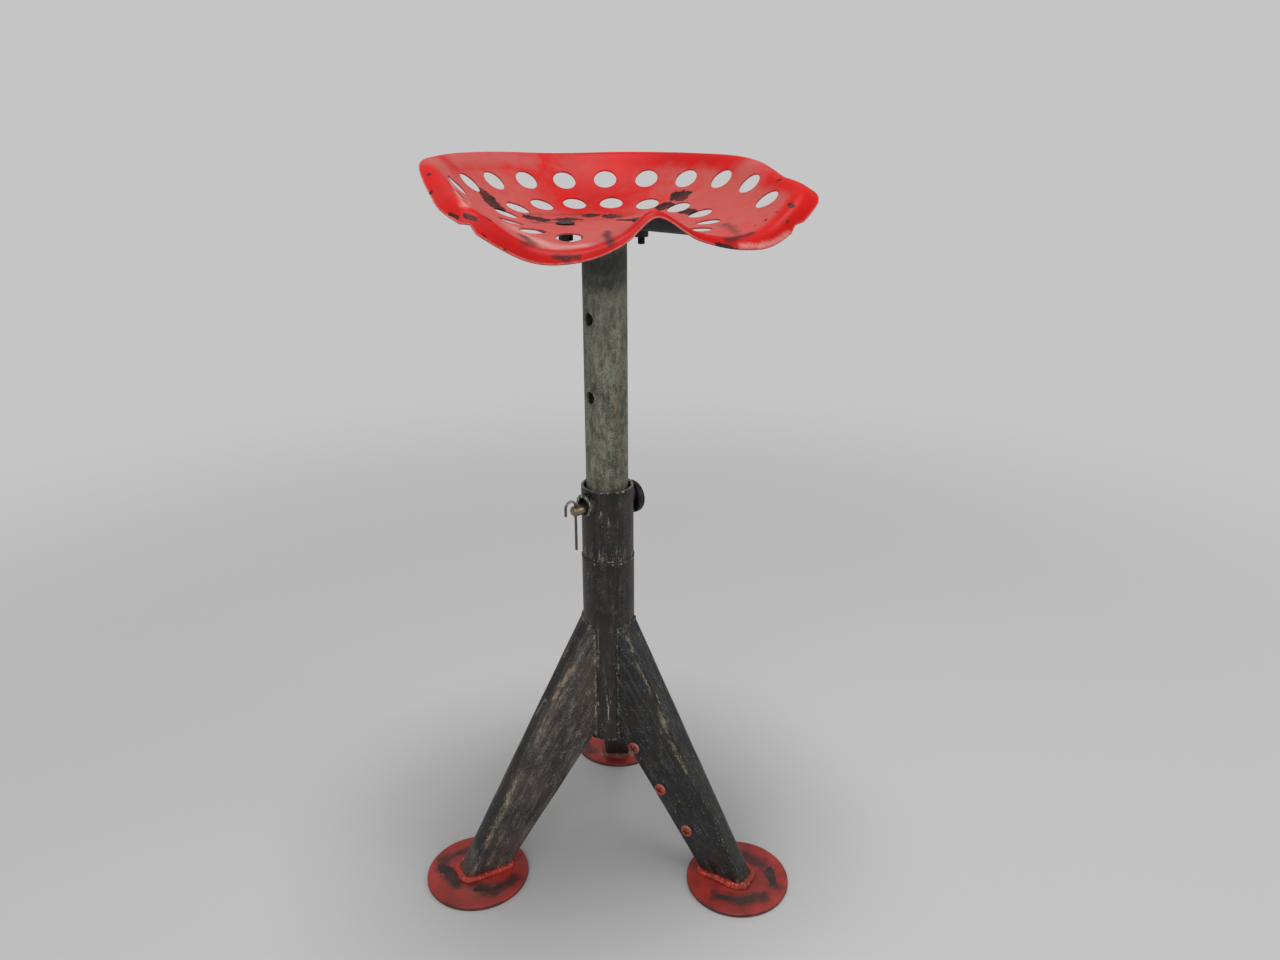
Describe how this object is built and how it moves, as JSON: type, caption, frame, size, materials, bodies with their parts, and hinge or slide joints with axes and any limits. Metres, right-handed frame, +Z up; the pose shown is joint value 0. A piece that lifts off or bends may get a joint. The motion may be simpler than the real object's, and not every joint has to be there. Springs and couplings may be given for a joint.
{
  "type": "tractor seat stool",
  "caption": "Stool with a pressed, perforated tractor-type seat pan on a round post, pinned in a sleeve over a welded tripod with round foot plates.",
  "frame": {"origin": "on the floor under the middle of the stool's bounding box", "axes": "+Z up, -Y towards the stool's front, +X to its right as the picture shows it"},
  "size_m": [0.4442, 0.4368, 0.8443],
  "materials": {
    "seat_red": "worn gloss",
    "foot_red": "worn matte",
    "screw_orange": "worn satin",
    "frame_steel": "worn satin",
    "weld_steel": "rough",
    "post_zinc": "weathered zinc",
    "pin_brass": "dull",
    "black_steel": "satin"
  },
  "bodies": {
    "base": {"stand_tube": "frame_steel", "guide_sleeve": "frame_steel", "sleeve_weld": "weld_steel", "pin_boss_front": "frame_steel", "pin_boss_rear": "frame_steel", "leg_left": "frame_steel", "leg_right": "frame_steel", "leg_rear": "frame_steel", "leg_weld_left": "weld_steel", "leg_weld_right": "weld_steel", "leg_weld_rear": "weld_steel", "foot_left": "foot_red", "foot_right": "foot_red", "foot_rear": "foot_red", "foot_weld_left": "foot_red", "foot_weld_right": "foot_red", "foot_weld_rear": "foot_red", "leg_screw_upper": "screw_orange", "leg_screw_middle": "screw_orange", "leg_screw_lower": "screw_orange"},
    "post": {"post_tube": "post_zinc", "post_weld": "weld_steel", "seat_bar": "black_steel", "seat_pan": "seat_red", "seat_bolt_left": "black_steel", "seat_bolt_right": "black_steel", "seat_washer_left": "black_steel", "seat_washer_right": "black_steel", "seat_nut_left": "black_steel", "seat_nut_right": "black_steel"},
    "pin": {"lock_pin": "pin_brass", "lock_pin_head": "black_steel"},
    "clip": {"hitch_clip": "black_steel"}
  },
  "joints": [
    {"name": "post_slide", "type": "slide", "parent": "base", "child": "post", "axis": [0, 0, 1], "range_m": [0, 0.006]},
    {"name": "pin_slide", "type": "slide", "parent": "post", "child": "pin", "axis": [0.7455, 0.6665, 0], "range_m": [0, 0.009]},
    {"name": "clip_lift", "type": "slide", "parent": "pin", "child": "clip", "axis": [0, 0, 1], "range_m": [0, 0.052]}
  ]
}
